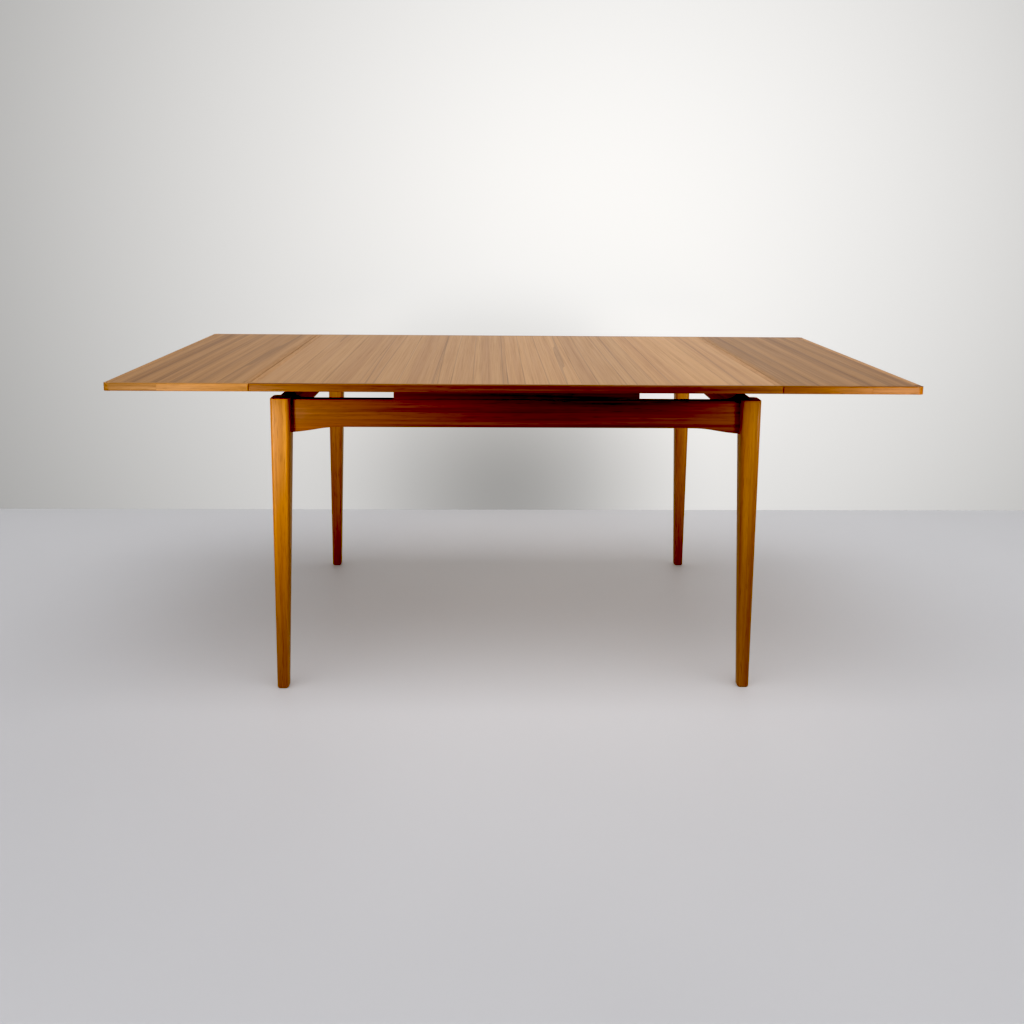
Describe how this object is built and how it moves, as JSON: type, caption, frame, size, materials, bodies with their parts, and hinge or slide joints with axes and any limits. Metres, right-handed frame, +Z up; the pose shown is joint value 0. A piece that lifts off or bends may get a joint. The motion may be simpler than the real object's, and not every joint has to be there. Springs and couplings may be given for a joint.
{
  "type": "draw-leaf dining table",
  "caption": "Teak dining table with a floating main top and a leaf drawn out at each end on inclined wooden runners.",
  "frame": {"origin": "on the floor, under the middle of the top", "axes": "+X along the table towards the right leaf, +Y towards the back, +Z up"},
  "size_m": [1.8452, 0.85, 0.735],
  "materials": {
    "teak_legs": "oiled satin, golden orange",
    "teak_aprons": "oiled satin, deep orange brown",
    "teak_board": "oiled satin, dark",
    "teak_face_veneer": "satin, slip-matched strips with the grain front to back",
    "teak_back_veneer": "matt, unpolished",
    "teak_lippings": "oiled satin, eased arrises",
    "steel_screws": "zinc plated",
    "blockboard": "raw, hidden",
    "beech": "planed, waxed"
  },
  "bodies": {
    "frame": {"front_left_leg": "teak_legs", "front_right_leg": "teak_legs", "back_left_leg": "teak_legs", "back_right_leg": "teak_legs", "front_apron": "teak_aprons", "back_apron": "teak_aprons", "left_end_apron": "teak_aprons", "right_end_apron": "teak_aprons", "left_cross_rail": "beech", "right_cross_rail": "beech", "centre_board": "teak_board", "front_left_corner_block": "beech", "front_right_corner_block": "beech", "back_left_corner_block": "beech", "back_right_corner_block": "beech", "corner_block_screws": "steel_screws", "centre_board_screws": "steel_screws"},
    "main_top": {"main_top_core": "blockboard", "main_top_face_veneer": "teak_face_veneer", "main_top_back_veneer": "teak_back_veneer", "main_top_front_lipping": "teak_lippings", "main_top_back_lipping": "teak_lippings", "main_top_left_lipping": "teak_lippings", "main_top_right_lipping": "teak_lippings", "front_locating_peg": "beech", "back_locating_peg": "beech"},
    "left_leaf": {"left_leaf_core": "blockboard", "left_leaf_face_veneer": "teak_face_veneer", "left_leaf_back_veneer": "teak_back_veneer", "left_leaf_front_lipping": "teak_lippings", "left_leaf_back_lipping": "teak_lippings", "left_leaf_front_corner": "teak_lippings", "left_leaf_back_corner": "teak_lippings", "left_leaf_outer_lipping": "teak_lippings", "left_leaf_inner_lipping": "teak_lippings", "left_leaf_front_runner": "beech", "left_leaf_back_runner": "beech", "left_leaf_runner_screws": "steel_screws", "left_leaf_stop_pegs": "beech"},
    "right_leaf": {"right_leaf_core": "blockboard", "right_leaf_face_veneer": "teak_face_veneer", "right_leaf_back_veneer": "teak_back_veneer", "right_leaf_front_lipping": "teak_lippings", "right_leaf_back_lipping": "teak_lippings", "right_leaf_front_corner": "teak_lippings", "right_leaf_back_corner": "teak_lippings", "right_leaf_outer_lipping": "teak_lippings", "right_leaf_inner_lipping": "teak_lippings", "right_leaf_front_runner": "beech", "right_leaf_back_runner": "beech", "right_leaf_runner_screws": "steel_screws", "right_leaf_stop_pegs": "beech"}
  },
  "joints": [
    {"name": "main_top_lift", "type": "slide", "parent": "frame", "child": "main_top", "axis": [0, 0, 1], "range_m": [0, 0.045]},
    {"name": "left_leaf_draw", "type": "slide", "parent": "frame", "child": "left_leaf", "axis": [-0.9982, 0, 0.0599], "range_m": [0, 0.012]},
    {"name": "right_leaf_draw", "type": "slide", "parent": "frame", "child": "right_leaf", "axis": [0.9982, 0, 0.0599], "range_m": [0, 0.012]}
  ]
}
